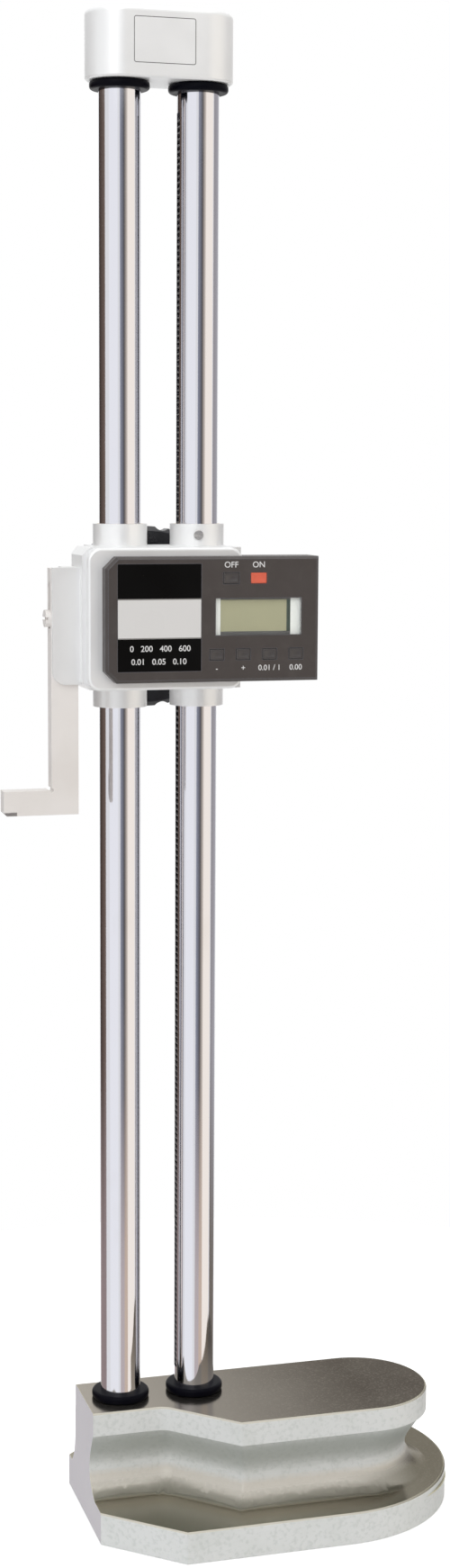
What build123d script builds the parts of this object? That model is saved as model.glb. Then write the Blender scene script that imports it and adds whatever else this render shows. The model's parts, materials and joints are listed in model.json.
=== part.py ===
from build123d import *
import math
import os

# Digital height gauge with twin columns, millimetres, +Z up.
# Origin: midway between the columns, on the plane that the base stands on.
# +X runs along the base towards its round tail, and the display faces -Y.

# ---------------------------------------------------------------- measuring range and columns
travel = 600.0              # measuring range, stop to stop
stop_gap = 0.3              # air between a sleeve and its bumper at each end of the travel
column_spacing = 42.0       # centre to centre
column_r = 11.0
running_gap = 0.05          # radial clearance of every sliding or turning fit
seat_gap = 0.02             # radial clearance of every fixed seat
trim_gap = 0.05             # air round a piece laid in a recess
past = 1.0                  # how far a cutter runs past the face that it opens
through = 200.0             # reach of a cutter that goes right through
slot_share = 0.3            # a screwdriver slot's width, as a share of the head's radius
slot_depth_share = 0.5      # and its depth, as a share of the head's height
screw_hole_gap = 0.3        # radial clearance of a hole that a screw passes through
screw_end_gap = 0.5         # air beyond a screw's end in its hole

# ---------------------------------------------------------------- base casting
base_height = 66.0
end_x = -41.5               # flat ground end face
foot_height = 17.5          # lower plate
foot_end_half = 41.0
foot_half = 76.0
foot_shoulder_x = -2.5
foot_tail_x = 90.0          # centre of the round tail
grip_height = 13.0          # upper plate
neck_half = 22.5            # upper plate beside the columns
neck_x = -1.5
grip_front = 55.0           # upper plate's widest reach to the front
grip_corner_x = 33.0
grip_tail_end_x = 150.5
neck_corner_r = 12.0
grip_corner_r = 3.0
plate_edge = 0.8            # broken edge of both plates
# The waist's levels, from inside the upper plate down into the lower one: how far down
# the gap between the plates, and how far inside the upper plate's outline.
waist_shares = (-0.03, 0.34, 0.68, 0.94, 1.11)
waist_front_insets = (1.5, 7.5, 9.6, 1.0, -12.0)
waist_back_insets = (0.0, -1.0, -2.5, -8.0, -15.0)
waist_run_out = 20.0        # length drawn past the end face and cut off with it
relief_depth = 2.0          # recess under the tail
relief_length = 84.0
relief_width = 45.0
relief_x = 88.0
socket_depth = 30.0
bolt_r = 4.0
bolt_head_r = 6.5
bolt_head_height = 8.0
bolt_sink = 12.0
bolt_reach = 15.0           # thread length inside the column
counterbore_gap = 0.6
hexagon_share = 0.95        # a hexagon socket's radius, as a share of the thread's
socket_share = 0.6          # its depth, as a share of the head's height
thread_spare = 2.0          # tapped depth beyond the end of a screw

# ---------------------------------------------------------------- bumpers and cap
bumper_r = 15.7
bumper_height = 4.5
bumper_edge = 1.2
cap_depth = 36.0
cap_height = 35.0
cap_socket_depth = 20.0
cap_top_round = 2.5
cap_bottom_edge = 1.0
cap_screw_r = 3.0
cap_screw_head_r = 5.0
cap_screw_head_height = 6.0
cap_screw_reach = 14.0
cap_screw_sink = 1.0        # heads below the cap's top

# ---------------------------------------------------------------- rack and pinions
module = 1.0
pinion_teeth = 18
pressure_angle = 20.0
root_depth = 1.25           # tooth depth below the pitch line, in modules
flank_steps = 4
backlash = 0.16
rack_width = 5.8
rack_back = 1.9             # metal behind the tooth roots
rack_sink = 0.5             # tooth tips below the column's surface
rack_bottom_above_base = 14.0
rack_top_below_cap = 14.5
pinion_width = 5.2
drive_drop = 3.0            # drive axis below the middle of the carriage
encoder_rise_teeth = 7      # encoder axis above the drive axis, in tooth pitches

# ---------------------------------------------------------------- carriage
rest_gap = 378.8            # sleeves above the lower bumpers in the stored position
carriage_height = 96.4
sleeve_r = 14.35
sleeve_rise = 11.5          # sleeve standing out above and below the casting
bush_wall = 1.5
bush_length = 20.0
flank_left = 13.05          # metal left of the left sleeve, where the scriber's holder sits
flank_right = 0.95          # and right of the right sleeve
flank_step = 1.65           # how far left of its sleeve the body keeps its full depth
body_front = -32.0
body_back = 16.0
side_lug_back = -2.0        # the left flank is shallower than the middle
side_lug_round = 5.0
body_corner = 4.0
chamber_depth = 13.0        # open front chamber for the encoder
chamber_wall = 4.0
column_gap = 1.0            # air round a column between its guide bushes
gear_room = 0.9             # air round a pinion and beside it
shaft_relief = 1.0          # air round the drive shaft in front of its rear bush
sleeve_screw_turn = 11.0    # degrees from straight ahead
sleeve_screw_r = 1.25
sleeve_screw_head_r = 2.5
sleeve_screw_head_height = 1.2
sleeve_spot_depth = 0.3     # flat sunk in the sleeve under the head
sleeve_screw_gap = 0.04     # air between the screw's end and the bush

# ---------------------------------------------------------------- drive train
shaft_r = 4.0
drive_bush_r = 6.0
drive_bush_length = 8.0
rear_bush_length = 22.0
housing_flange_r = 21.0
housing_flange_thickness = 5.0
housing_boss_r = 11.0
housing_boss_length = 9.0
flange_screw_circle = 16.0
flange_screw_r = 1.6
flange_screw_head_r = 2.9
flange_screw_head_height = 2.2
flange_screw_reach = 4.5
flange_screw_count = 3
flange_first_turn = 90.0    # degrees from +X, so that the first screw is straight down
wheel_r = 49.0
wheel_thickness = 13.0
wheel_web = 5.0
wheel_rim = 9.0
wheel_hub_r = 12.0
wheel_gap = 1.0             # between the bearing boss and the hub
wheel_lobes = 20
wheel_lobe_depth = 1.8
wheel_lobe_share = 0.62     # a scoop's radius, as a share of half the lobe pitch
wheel_edge = 2.5
nut_r = 6.5
nut_height = 4.5
crank_radius = 36.0
crank_pin_r = 2.5
crank_knob_r = 8.5
crank_knob_length = 22.0
crank_knob_end_r = 6.5
crank_gap = 0.5
crank_boss_r = 6.0
crank_head_r = 4.0
crank_head_height = 1.7

# ---------------------------------------------------------------- encoder
encoder_shaft_r = 2.5
encoder_bush_r = 4.5
encoder_bush_length = 5.0
encoder_disc_gap = 1.2      # air between the disc and the top of its chamber
encoder_disc_thickness = 1.2
encoder_disc_from_floor = 5.0
reader_width = 14.0
reader_height = 9.0
reader_slot = 2.8
reader_overlap = 4.0        # how far the fork reaches up past the disc's lower edge
reader_throat = 5.5
reader_reach = 11.0
shaft_end_gap = 0.5
encoder_shaft_nose = 1.0    # shaft standing out in front of the disc

# ---------------------------------------------------------------- display unit
bezel_inset_left = 1.8      # inside the carriage's flanks
bezel_inset_right = 0.3
bezel_height = 73.4
bezel_thickness = 6.0
bezel_corner = 7.0
bezel_round = 1.6
panel_inset = 7.4           # from the bezel's left side
panel_right = 74.8
panel_height = 64.8
panel_depth = 8.0           # how far the housing stands out in front of the bezel
panel_corner = 6.0          # chamfered corners on the left
panel_wall = 2.2
overhang_depth = 11.0       # box behind the overhanging right end
overhang_gap = 0.5
panel_edge = 1.4
cover_thickness = 2.0
label_left = -32.9
label_right = 11.2
label_bottom_below_middle = 26.4
label_top_above_middle = 28.6
label_thickness = 0.4
window_left = 19.0
window_right = 65.1
window_bottom = -8.2        # from the carriage's middle height
window_top = 10.8
window_glass = 1.2
window_sink = 0.3
cell_left = 22.1
cell_right = 59.9
cell_bottom_margin = 1.7    # frame seen below the cell
cell_top_margin = 0.85      # and above it
board_left = -10.0
board_right = 72.0
board_thickness = 1.2
board_gap = 0.5             # air between the board and the walls
board_back_gap = 0.4
switch_half = 2.5
lcd_rim = 1.5
cell_depth = 1.8
cell_step = 0.2             # frame in front of the cell's face
wall_gap = 0.1              # air behind the front wall
key_travel = 0.8
key_proud = 0.4
key_gap = 0.15
key_height = 5.5
key_flange = 0.9
key_flange_thickness = 1.0
key_round = 0.5
lower_key_z = -18.2         # from the carriage's middle height
lower_key_width = 7.4
lower_key_x = 19.6
lower_key_pitch = 14.25
upper_key_z = 21.2
upper_key_width = 8.4
upper_key_x = 27.2
upper_key_pitch = 14.8
battery_r = 10.0
battery_height = 3.2
battery_x = 56.0
battery_cover_r = 13.0
battery_cover_thickness = 2.0
battery_gap = 0.3
battery_well_wall = 1.3
battery_well_floor = 1.0
battery_back_gap = 1.0
coin_slot_share = 0.7       # slot length, as a share of the cover's diameter
coin_slot_depth = 1.0
coin_slot_width = 2.2
cover_screw_r = 1.2
cover_screw_head_r = 2.2
cover_screw_head_height = 1.4
cover_screw_reach = 4.0     # thread below the cover
cover_boss_r = 4.0
cover_boss_inset = 3.5      # boss axis from the walls
flat_cable_rise = 3.0       # above the fork's lower side
flat_cable_slot_half = 7.0
flat_cable_slot_height = 7.0
flat_cable_width = 9.0
flat_cable_thickness = 0.5

# ---------------------------------------------------------------- lock
lock_z = -10.0              # from the carriage's middle height
lock_stem_r = 3.0
lock_knob_r = 9.0
lock_knob_length = 13.0
lock_knob_gap = 1.0
lock_tip_length = 3.0
lock_tip_gap = 0.3
lock_flutes = 12
lock_flute_r = 1.3
lock_flute_offset = 0.5     # flute axis outside the knob
lock_knob_edge = 1.0
lock_tip_step = 0.2

# ---------------------------------------------------------------- scriber and its holder
scriber_stand_off = 14.9    # left face from the carriage's flank
scriber_width = 14.3
scriber_depth = 9.0
scriber_front = -25.0
scriber_top = 26.0          # above the carriage's middle height
scriber_bottom = -102.1
foot_thickness = 13.0
foot_reach = 25.3           # tip from the bar's left face
foot_chamfer = 1.6
corner_relief_r = 1.1
slot_half_width = 2.6
slot_up = 18.9              # slot reach above and below the clamp screw
slot_down = 5.3
tip_thickness = 2.0
tip_length = 7.0
holder_top = 26.4
holder_bottom = -34.0
holder_front_wall = 2.2
holder_back_wall = 7.0
holder_corner = 7.0
holder_set_back = 0.4       # front wall short of the bar's left face
holder_back_reach = 7.6     # back wall's reach from the flank
holder_sink = 3.0           # floor let into the carriage's flank
clamp_screw_r = 2.5
clamp_head_r = 4.5
clamp_head_height = 2.6
clamp_slot_depth = 1.2
clamp_slot_width = 1.4
clamp_reach = 8.0
holder_screw_r = 2.0
holder_screw_head_r = 3.4
holder_screw_head_height = 2.5
holder_screw_reach = 5.0    # thread inside the flank, beyond the holder's floor
holder_screw_rises = (-24.0, 16.0)

# ---------------------------------------------------------------- places worked out from the above
left_x = -column_spacing / 2
right_x = column_spacing / 2
cap_bottom = base_height + 2 * bumper_height + 2 * stop_gap + carriage_height + travel
cap_top = cap_bottom + cap_height
cap_length = column_spacing + cap_depth
carriage_bottom = base_height + bumper_height + rest_gap
carriage_top = carriage_bottom + carriage_height
middle_z = (carriage_bottom + carriage_top) / 2
body_bottom = carriage_bottom + sleeve_rise
body_top = carriage_top - sleeve_rise
tooth_pitch = math.pi * module
pinion_r = module * pinion_teeth / 2
pinion_tip_r = pinion_r + module
tooth_tip_x = right_x - column_r + rack_sink
pitch_line_x = tooth_tip_x + module
pinion_x = pitch_line_x - pinion_r
root_line_x = pitch_line_x + root_depth * module
groove_floor_x = root_line_x + rack_back
drive_z = middle_z - drive_drop
encoder_z = drive_z + encoder_rise_teeth * tooth_pitch
chamber_top = body_top - chamber_wall
encoder_disc_r = chamber_top - encoder_disc_gap - encoder_z
bush_r = column_r + running_gap + bush_wall
side_lug_x = left_x - sleeve_r - flank_step
body_left = left_x - sleeve_r - flank_left
body_right = right_x + sleeve_r + flank_right
bezel_left = body_left + bezel_inset_left
bezel_right = body_right - bezel_inset_right
panel_left = bezel_left + panel_inset
scriber_left = body_left - scriber_stand_off
foot_tip_x = scriber_left - foot_reach
holder_back_left = body_left - holder_back_reach
bezel_front = body_front - bezel_thickness
panel_front = bezel_front - panel_depth
gear_bore_r = pinion_tip_r + gear_room
gear_half = pinion_width / 2 + gear_room
chamber_floor = body_front + chamber_depth
holder_screw_end = body_left + holder_sink + holder_screw_reach
housing_face = body_back + housing_flange_thickness
housing_back = housing_face + housing_boss_length
wheel_start = housing_back + wheel_gap
wheel_end = wheel_start + wheel_thickness
wheel_web_front = (wheel_thickness - wheel_web) / 2
inner_front = panel_front + panel_wall
box_left = bezel_right + overhang_gap
box_back = bezel_front + overhang_depth
cover_back = box_back + cover_thickness
panel_bottom = middle_z - panel_height / 2
panel_top = middle_z + panel_height / 2
reader_top = encoder_z - encoder_disc_r + reader_overlap
reader_bottom = reader_top - reader_height
reader_front = chamber_floor - reader_reach
rack_bottom = base_height + rack_bottom_above_base
rack_top = cap_bottom - rack_top_below_cap


# ---------------------------------------------------------------- helpers
def block(x0, x1, y0, y1, z0, z1):
    """A box between two corners."""
    size = Box(x1 - x0, y1 - y0, z1 - z0)
    return Pos((x0 + x1) / 2, (y0 + y1) / 2, (z0 + z1) / 2) * size


def post(radius, bottom, top, x=0.0, y=0.0):
    """An upright cylinder."""
    return Pos(x, y, (bottom + top) / 2) * Cylinder(radius, top - bottom)


def rod_y(radius, y0, y1, x, z):
    """A cylinder along Y."""
    return Pos(x, (y0 + y1) / 2, z) * Rot(-90, 0, 0) * Cylinder(radius, y1 - y0)


def rod_x(radius, x0, x1, y, z):
    """A cylinder along X."""
    return Pos((x0 + x1) / 2, y, z) * Rot(0, 90, 0) * Cylinder(radius, x1 - x0)


def plate_xz(outline, front, back):
    """A sketch drawn in X and Z, as a plate between two depths."""
    return Pos(0, back, 0) * extrude(Rot(90, 0, 0) * outline, back - front)


def slotted_screw(stem_r, stem, head_r, head):
    """Slotted screw along Y: its stem in front of the plane Y = 0 and its head behind."""
    screw = rod_y(stem_r, -stem, 0, 0, 0) + rod_y(head_r, 0, head, 0, 0)
    half = head_r * slot_share / 2
    slot_floor = head * (1 - slot_depth_share)
    return screw - block(-head_r, head_r, slot_floor, head, -half, half)


def save(name, shape):
    """Write one sub-part, its separate pieces as separate solids."""
    pieces = shape.solids()
    shape = pieces[0] if len(pieces) == 1 else Compound(children=list(pieces))
    shape.label = name
    export_step(shape, "parts/" + name + ".step")


# ---------------------------------------------------------------- base
def inset_corner(corner, before, after, inset):
    """A corner of an outline moved inwards by the same amount from both of its sides."""
    first = (Vector(*corner) - Vector(*before)).normalized()
    second = (Vector(*after) - Vector(*corner)).normalized()
    inward = Vector(-first.Y, first.X) + Vector(-second.Y, second.X)
    shift = inward * (inset / (1 + first.dot(second)))
    return corner[0] + shift.X, corner[1] + shift.Y


def grip_outline(front_inset, back_inset, run_out=0.0):
    """The upper plate's plan, drawn inwards in front and behind by given amounts."""
    start = (end_x - run_out, -neck_half)
    neck = (neck_x, -neck_half)
    corner = (grip_corner_x, -grip_front)
    ahead = (grip_tail_end_x, -grip_front)
    front_y = -grip_front + front_inset
    back_y = neck_half - back_inset
    tail_r = (back_y - front_y) / 2
    tail_x = grip_tail_end_x - front_inset - tail_r
    neck_in = inset_corner(neck, start, corner, front_inset)
    corner_in = inset_corner(corner, neck, ahead, front_inset)
    first = (start[0], -neck_half + front_inset)
    last = (start[0], back_y)
    sides = Polyline(last, first, neck_in, corner_in, (tail_x, front_y))
    tail = ThreePointArc((tail_x, front_y), (tail_x + tail_r, front_y + tail_r), (tail_x, back_y))
    face = make_face([*sides.edges(), tail, Line((tail_x, back_y), last)])
    near_neck = face.vertices().sort_by_distance(Vector(*neck_in))[0]
    face = fillet(near_neck, neck_corner_r)
    near_corner = face.vertices().sort_by_distance(Vector(*corner_in))[0]
    return fillet(near_corner, grip_corner_r)


def foot_outline():
    """The lower plate's plan: flared shoulders and a half-round tail."""
    front = [(end_x, -foot_end_half), (foot_shoulder_x, -foot_half), (foot_tail_x, -foot_half)]
    back = [(x, -y) for x, y in reversed(front)]
    tail = ThreePointArc(front[-1], (foot_tail_x + foot_half, 0), back[0])
    edges = [*Polyline(*front).edges(), tail, *Polyline(*back, front[0]).edges()]
    return make_face(edges)


def waist():
    """The hollowed wall between the plates, spreading into the lower plate."""
    top = base_height - grip_height
    gap = top - foot_height
    levels = [(Pos(0, 0, top - share * gap) * grip_outline(front, back, waist_run_out)).face()
              for share, front, back in zip(waist_shares, waist_front_insets, waist_back_insets)]
    return loft(levels) - block(end_x - through, end_x, -through, through, 0, base_height)


def base_casting():
    """Heavy base: lower plate, waist and upper plate in one casting, ground on top and end."""
    foot = extrude(foot_outline(), foot_height)
    rim = foot.faces().sort_by(Axis.Z)[-1].edges()
    foot = chamfer(rim.filter_by(lambda e: e.center().X > end_x + plate_edge), plate_edge)
    grip = Pos(0, 0, base_height - grip_height) * extrude(grip_outline(0, 0), grip_height)
    rim = grip.faces().sort_by(Axis.Z)[-1].edges()
    grip = chamfer(rim.filter_by(lambda e: e.center().X > end_x + plate_edge), plate_edge)
    casting = foot + waist() + grip
    for x in (left_x, right_x):
        casting -= post(column_r + seat_gap, base_height - socket_depth, base_height, x)
        casting -= post(bolt_head_r + counterbore_gap, 0, bolt_sink, x)
        casting -= post(bolt_r + seat_gap, 0, base_height - socket_depth, x)
    relief = extrude(SlotOverall(relief_length, relief_width), relief_depth)
    return casting - Pos(relief_x, 0, 0) * relief


def socket_bolt(stem_r, stem, head_r, head, x):
    """Socket-head bolt standing on its head, the head's inner face at height 0."""
    bolt = post(stem_r, 0, stem, x) + post(head_r, -head, 0, x)
    hexagon = extrude(RegularPolygon(stem_r * hexagon_share, 6), head * socket_share)
    return bolt - Pos(x, 0, -head) * hexagon


def column_bolts():
    stem = base_height - socket_depth - bolt_sink + bolt_reach
    pair = [socket_bolt(bolt_r, stem, bolt_head_r, bolt_head_height, x) for x in (left_x, right_x)]
    return Pos(0, 0, bolt_sink) * Compound(children=pair)


def column(x):
    """Ground column, tapped at both ends."""
    bottom = base_height - socket_depth
    top = cap_bottom + cap_socket_depth
    bar = post(column_r, bottom, top, x)
    bar -= post(bolt_r + seat_gap, bottom, bottom + bolt_reach + thread_spare, x)
    bar -= post(cap_screw_r + seat_gap, top - cap_screw_reach - thread_spare, top, x)
    return bar


def rack_groove():
    """The slot down the right column that holds the rack."""
    half = rack_width / 2 + running_gap
    return block(right_x - column_r - past, groove_floor_x, -half, half, rack_bottom, rack_top)


def rack():
    """Straight rack, its tooth spaces in line with the drive axis at rest."""
    slope = math.tan(math.radians(pressure_angle))
    half = tooth_pitch / 4 - backlash / 2
    half_tip = half - module * slope
    half_root = half + root_depth * module * slope
    first = math.ceil((rack_bottom + half_root - drive_z) / tooth_pitch - 0.5)
    last = math.floor((rack_top - half_root - drive_z) / tooth_pitch - 0.5)
    points = [(groove_floor_x, rack_bottom), (root_line_x, rack_bottom)]
    for index in range(first, last + 1):
        z = drive_z + (index + 0.5) * tooth_pitch
        points += [(root_line_x, z - half_root), (tooth_tip_x, z - half_tip)]
        points += [(tooth_tip_x, z + half_tip), (root_line_x, z + half_root)]
    points += [(root_line_x, rack_top), (groove_floor_x, rack_top)]
    profile = make_face(Polyline(*points, close=True))
    return plate_xz(profile, -rack_width / 2, rack_width / 2)


def bumper(x, bottom):
    """Rubber stop ring round a column."""
    ring = post(bumper_r, bottom, bottom + bumper_height, x)
    ring = chamfer(ring.edges().filter_by(GeomType.CIRCLE), bumper_edge)
    return ring - post(column_r + seat_gap, 0, cap_top, x)


def top_cap():
    """Cap that ties the column heads together."""
    cap = Pos(0, 0, cap_bottom) * extrude(SlotOverall(cap_length, cap_depth), cap_height)
    cap = fillet(cap.faces().sort_by(Axis.Z)[-1].edges(), cap_top_round)
    cap = chamfer(cap.faces().sort_by(Axis.Z)[0].edges(), cap_bottom_edge)
    for x in (left_x, right_x):
        cap -= post(column_r + seat_gap, cap_bottom, cap_bottom + cap_socket_depth, x)
        cap -= post(cap_screw_r + screw_hole_gap, cap_bottom, cap_top, x)
        cap -= post(cap_screw_head_r + counterbore_gap,
                    cap_top - cap_screw_head_height - cap_screw_sink, cap_top, x)
    return cap


def cap_screws():
    under_head = cap_top - cap_screw_head_height - cap_screw_sink
    stem = under_head - (cap_bottom + cap_socket_depth) + cap_screw_reach
    pair = [socket_bolt(cap_screw_r, stem, cap_screw_head_r, cap_screw_head_height, x)
            for x in (left_x, right_x)]
    return Pos(0, 0, under_head) * Rot(180, 0, 0) * Compound(children=pair)


# ---------------------------------------------------------------- carriage
def carriage_body():
    """Casting with four sleeves, a gear bore behind and an encoder chamber in front."""
    body = block(side_lug_x, body_right, body_front, body_back, body_bottom, body_top)
    lug = block(body_left, side_lug_x, body_front, side_lug_back, body_bottom, body_top)
    lug = chamfer(lug.faces().sort_by(Axis.X)[0].edges().filter_by(Axis.Y), body_corner)
    back_edge = lug.edges().filter_by(Axis.Z).sort_by(lambda e: e.center().X - e.center().Y)[0]
    body += fillet(back_edge, side_lug_round)
    for x in (left_x, right_x):
        body += post(sleeve_r, carriage_bottom, carriage_top, x)
    for x in (left_x, right_x):
        body -= post(column_r + column_gap, carriage_bottom, carriage_top, x)
        body -= post(bush_r + seat_gap, carriage_bottom, carriage_bottom + bush_length, x)
        body -= post(bush_r + seat_gap, carriage_top - bush_length, carriage_top, x)
    body -= block(body_left + chamber_wall + body_corner, body_right - chamber_wall, body_front,
                  chamber_floor, body_bottom + chamber_wall, chamber_top)
    body -= rod_y(gear_bore_r, -gear_half, body_back, pinion_x, drive_z)
    body -= rod_y(drive_bush_r + seat_gap, -gear_half - drive_bush_length, 0, pinion_x, drive_z)
    body -= rod_y(gear_bore_r, chamber_floor, gear_half, pinion_x, encoder_z)
    body -= rod_y(encoder_bush_r + seat_gap, 0, gear_half + encoder_bush_length, pinion_x, encoder_z)
    body -= Pos(pinion_x, 0, drive_z) * flange_pattern(flange_screw_r + seat_gap, body_back,
                                                       flange_screw_reach)
    body -= rod_x(lock_stem_r + running_gap, right_x, body_right, 0, middle_z + lock_z)
    body -= rod_x(clamp_screw_r + running_gap, body_left, body_left + clamp_reach, scriber_middle(),
                  middle_z)
    body -= holder_floor(seat_gap)
    for rise in holder_screw_rises:
        body -= rod_x(holder_screw_r + seat_gap, body_left, holder_screw_end + thread_spare,
                      holder_screw_y(), middle_z + rise)
    return body - sleeve_screw_hole()


def flange_turns():
    """Even turns round Y, the first one straight down."""
    step = 360 / flange_screw_count
    return [Rot(0, flange_first_turn + step * index, 0) for index in range(flange_screw_count)]


def flange_pattern(radius, face_y, depth):
    """The flange's screw holes round an axis along Y, reaching forwards from a face."""
    one = rod_y(radius, face_y - depth, face_y, flange_screw_circle, 0)
    return Compound(children=[turn * one for turn in flange_turns()])


def guide_bush(x, bottom):
    """Plain bearing pressed in a sleeve."""
    ring = post(bush_r, bottom, bottom + bush_length, x)
    return ring - post(column_r + running_gap, 0, cap_top, x)


def sleeve_screw_place():
    return Pos(right_x, 0, carriage_top - sleeve_rise / 2) * Rot(0, 0, -sleeve_screw_turn)


def sleeve_screw_hole():
    """Tapped hole in the sleeve, and the flat under the screw's head."""
    seat = -sleeve_r + sleeve_spot_depth
    hole = rod_y(sleeve_screw_r, seat, -bush_r, 0, 0)
    return sleeve_screw_place() * (hole + rod_y(sleeve_screw_head_r + trim_gap, seat - past, seat, 0, 0))


def sleeve_screw():
    """Slotted screw that steadies the upper right bush."""
    seat = sleeve_r - sleeve_spot_depth
    stem = seat - bush_r - sleeve_screw_gap
    screw = slotted_screw(sleeve_screw_r - seat_gap, stem, sleeve_screw_head_r, sleeve_screw_head_height)
    return sleeve_screw_place() * Pos(0, -seat, 0) * Rot(0, 0, 180) * screw


# ---------------------------------------------------------------- drive train
def gear_outline(teeth):
    """Involute spur gear with one tooth pointing along +X."""
    pitch_r = module * teeth / 2
    flat = math.radians(pressure_angle)
    circle_r = pitch_r * math.cos(flat)
    root_r = pitch_r - root_depth * module
    tip_r = pitch_r + module
    half_pitch_angle = (tooth_pitch / 2 - backlash) / 2 / pitch_r
    rise = math.tan(flat) - flat
    flank = []
    for step in range(flank_steps + 1):
        radius = circle_r + (tip_r - circle_r) * step / flank_steps
        turn = math.acos(circle_r / radius)
        flank.append((radius, half_pitch_angle + rise - (math.tan(turn) - turn)))
    flank.insert(0, (root_r, flank[0][1]))
    points = []
    for tooth in range(teeth):
        centre = 2 * math.pi * tooth / teeth
        for radius, angle in flank:
            points.append((radius * math.cos(centre - angle), radius * math.sin(centre - angle)))
        for radius, angle in reversed(flank):
            points.append((radius * math.cos(centre + angle), radius * math.sin(centre + angle)))
    return make_face(Polyline(*points, close=True))


def pinion(z):
    """Spur pinion on an axis along Y, centred on the rack."""
    gear = extrude(gear_outline(pinion_teeth), pinion_width)
    return Pos(pinion_x, -pinion_width / 2, z) * Rot(-90, 0, 0) * gear


def drive_pinion():
    return pinion(drive_z) - rod_y(shaft_r + seat_gap, -through, through, pinion_x, drive_z)


def drive_shaft():
    front = -gear_half - drive_bush_length + shaft_end_gap
    return rod_y(shaft_r, front, wheel_end + nut_height, pinion_x, drive_z)


def shaft_bush_front():
    ring = rod_y(drive_bush_r, -gear_half - drive_bush_length, -gear_half, pinion_x, drive_z)
    return ring - rod_y(shaft_r + running_gap, -through, through, pinion_x, drive_z)


def shaft_bush_rear():
    ring = rod_y(drive_bush_r, housing_back - rear_bush_length, housing_back, pinion_x, drive_z)
    return ring - rod_y(shaft_r + running_gap, -through, through, pinion_x, drive_z)


def bearing_housing():
    """Flanged housing that closes the gear bore and carries the rear bush."""
    shape = rod_y(gear_bore_r - seat_gap, gear_half, body_back, pinion_x, drive_z)
    shape += rod_y(housing_flange_r, body_back, housing_face, pinion_x, drive_z)
    shape += rod_y(housing_boss_r, housing_face, housing_back, pinion_x, drive_z)
    shape -= rod_y(drive_bush_r + seat_gap, housing_back - rear_bush_length, housing_back, pinion_x,
                   drive_z)
    shape -= rod_y(shaft_r + shaft_relief, -through, through, pinion_x, drive_z)
    shape -= post(column_r + column_gap, carriage_bottom, carriage_top, right_x)
    holes = flange_pattern(flange_screw_r + screw_hole_gap, housing_face + past,
                           housing_flange_thickness + past)
    return shape - Pos(pinion_x, 0, drive_z) * holes


def flange_screws():
    """Screws that hold the bearing housing on the casting."""
    stem = housing_flange_thickness + flange_screw_reach - screw_end_gap
    screw = slotted_screw(flange_screw_r, stem, flange_screw_head_r, flange_screw_head_height)
    screw = Pos(flange_screw_circle, housing_face, 0) * screw
    return Pos(pinion_x, 0, drive_z) * Compound(children=[turn * screw for turn in flange_turns()])


def handwheel():
    """Dished wheel with a lobed rim, turned on a hub."""
    inner = wheel_r - wheel_rim
    dish = wheel_thickness - wheel_web_front
    wheel = Pos(0, 0, wheel_thickness / 2) * Cylinder(wheel_r, wheel_thickness)
    wheel = chamfer(wheel.edges().filter_by(GeomType.CIRCLE), wheel_edge)
    hollow = Cylinder(inner, wheel_web_front) - Cylinder(wheel_hub_r, wheel_web_front)
    wheel -= Pos(0, 0, wheel_web_front / 2) * hollow
    wheel -= Pos(0, 0, dish + wheel_web_front / 2) * hollow
    scoop_r = math.pi * wheel_r / wheel_lobes * wheel_lobe_share
    scoop = Cylinder(scoop_r, wheel_thickness + 2 * past)
    for index in range(wheel_lobes):
        turn = 360 / wheel_lobes * (index + 0.5)
        reach = wheel_r + scoop_r - wheel_lobe_depth
        wheel -= Rot(0, 0, turn) * Pos(reach, 0, wheel_thickness / 2) * scoop
    wheel += post(crank_boss_r, wheel_web_front, wheel_thickness, crank_radius)
    wheel -= Cylinder(shaft_r + seat_gap, through)
    wheel -= Pos(crank_radius, 0, 0) * Cylinder(crank_pin_r + seat_gap, through)
    return Pos(pinion_x, wheel_start, drive_z) * Rot(-90, 0, 0) * wheel


def wheel_nut():
    """Domed hexagon nut that holds the wheel on its shaft."""
    nut = extrude(RegularPolygon(nut_r, 6), nut_height)
    nut = Pos(pinion_x, wheel_end, drive_z) * Rot(-90, 0, 0) * nut
    return nut - rod_y(shaft_r + seat_gap, -through, through, pinion_x, drive_z)


def crank_pin():
    """Pin riveted in the wheel, with a head that keeps the knob on."""
    x = pinion_x + crank_radius
    head = wheel_end + crank_gap + crank_knob_length + crank_gap
    pin = rod_y(crank_pin_r, wheel_start + wheel_web_front, head, x, drive_z)
    return pin + rod_y(crank_head_r, head, head + crank_head_height, x, drive_z)


def crank_knob():
    """Barrel-shaped grip that spins on the pin."""
    bore = crank_pin_r + running_gap
    foot = (crank_knob_end_r, 0)
    head = (crank_knob_end_r, crank_knob_length)
    side = ThreePointArc(foot, (crank_knob_r, crank_knob_length / 2), head)
    inside = Polyline(head, (bore, crank_knob_length), (bore, 0), foot)
    grip = revolve(Rot(90, 0, 0) * make_face([side, *inside.edges()]), Axis.Z)
    place = Pos(pinion_x + crank_radius, wheel_end + crank_gap, drive_z)
    return place * Rot(-90, 0, 0) * grip


# ---------------------------------------------------------------- encoder
def encoder_front_y():
    return chamber_floor - encoder_disc_from_floor - encoder_disc_thickness


def encoder_shaft():
    """Thin shaft with its pinion cut in one piece."""
    front = encoder_front_y() - encoder_shaft_nose
    back = gear_half + encoder_bush_length - shaft_end_gap
    return pinion(encoder_z) + rod_y(encoder_shaft_r, front, back, pinion_x, encoder_z)


def encoder_disc():
    y = encoder_front_y()
    disc = rod_y(encoder_disc_r, y, y + encoder_disc_thickness, pinion_x, encoder_z)
    return disc - rod_y(encoder_shaft_r + seat_gap, -through, through, pinion_x, encoder_z)


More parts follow.
